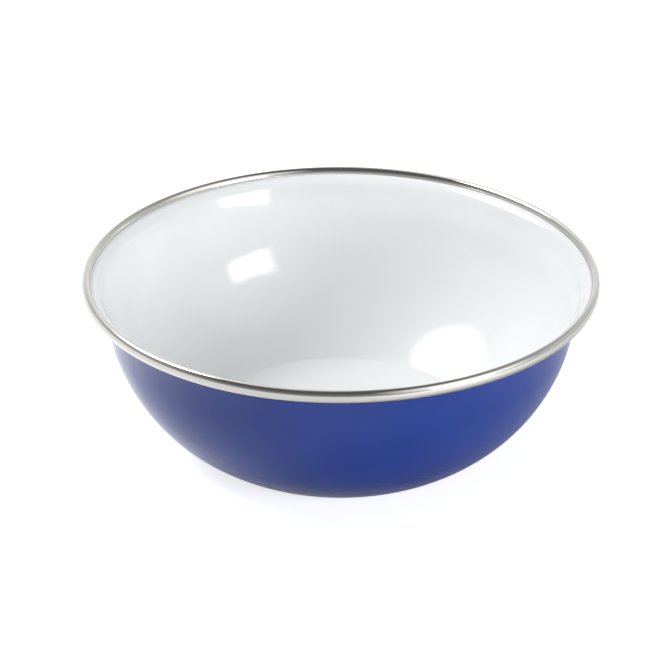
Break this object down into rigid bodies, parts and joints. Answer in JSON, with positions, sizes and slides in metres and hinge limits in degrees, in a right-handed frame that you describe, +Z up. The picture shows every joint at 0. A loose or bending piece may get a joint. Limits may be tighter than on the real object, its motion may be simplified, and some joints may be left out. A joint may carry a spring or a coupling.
{
  "type": "enamel bowl",
  "caption": "Round steel bowl with a white enamel lining, a blue enamel outside and a rolled stainless rim, for mixing, serving and holding food.",
  "frame": {"origin": "centre of the foot, in the plane that the bowl stands on", "axes": "+Z up along the bowl's axis of revolution, -Y towards the viewer of the picture, the rim band's seam on +Y"},
  "size_m": [0.24, 0.24, 0.083],
  "materials": {
    "shell_steel": "bare drawn sheet, hidden by the coats",
    "ground_enamel": "dark fired ground coat, hidden by the cover coats",
    "blue_enamel": "glossy fired cobalt blue",
    "white_enamel": "glossy fired cool white",
    "rim_steel": "bright rolled stainless strip"
  },
  "bodies": {
    "root": {"steel_shell": "shell_steel", "ground_coat_outside": "ground_enamel", "ground_coat_inside": "ground_enamel", "blue_coat": "blue_enamel", "white_lining": "white_enamel", "rim_band": "rim_steel"}
  },
  "joints": []
}
